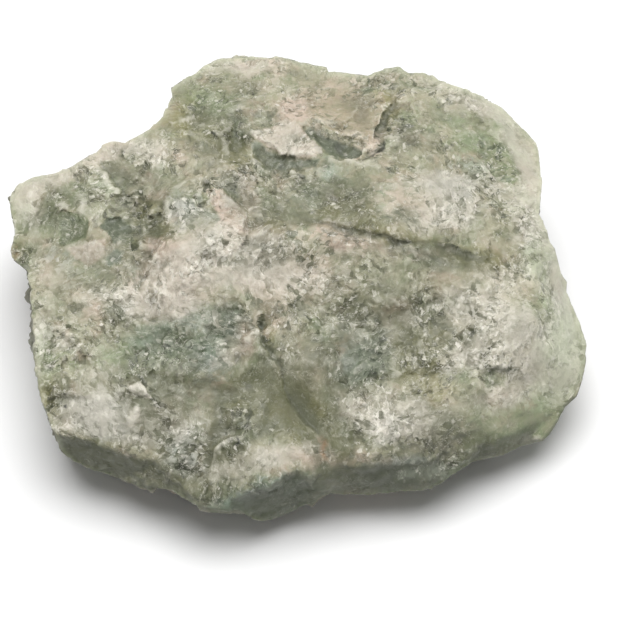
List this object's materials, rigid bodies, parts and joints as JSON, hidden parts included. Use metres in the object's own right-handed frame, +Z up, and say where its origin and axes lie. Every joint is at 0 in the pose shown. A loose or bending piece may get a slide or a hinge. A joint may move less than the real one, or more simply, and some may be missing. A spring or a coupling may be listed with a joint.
{
  "type": "raw aventurine",
  "caption": "Raw chunk of pale green aventurine, a blocky broken stone with a cracked, grainy upper face, that lies on its flat underside.",
  "frame": {"origin": "on the surface the chunk rests on, under the middle of its bounding box", "axes": "+X along the longest extent, towards the blunt right-hand end; +Y from the thick front edge to the far edge; +Z up, from the flat underside to the broad broken face"},
  "size_m": [0.0802, 0.0696, 0.0271],
  "materials": {
    "aventurine": "broken and grainy, slightly glassy, not polished"
  },
  "bodies": {
    "root": {"aventurine_chunk": "aventurine"}
  },
  "joints": []
}
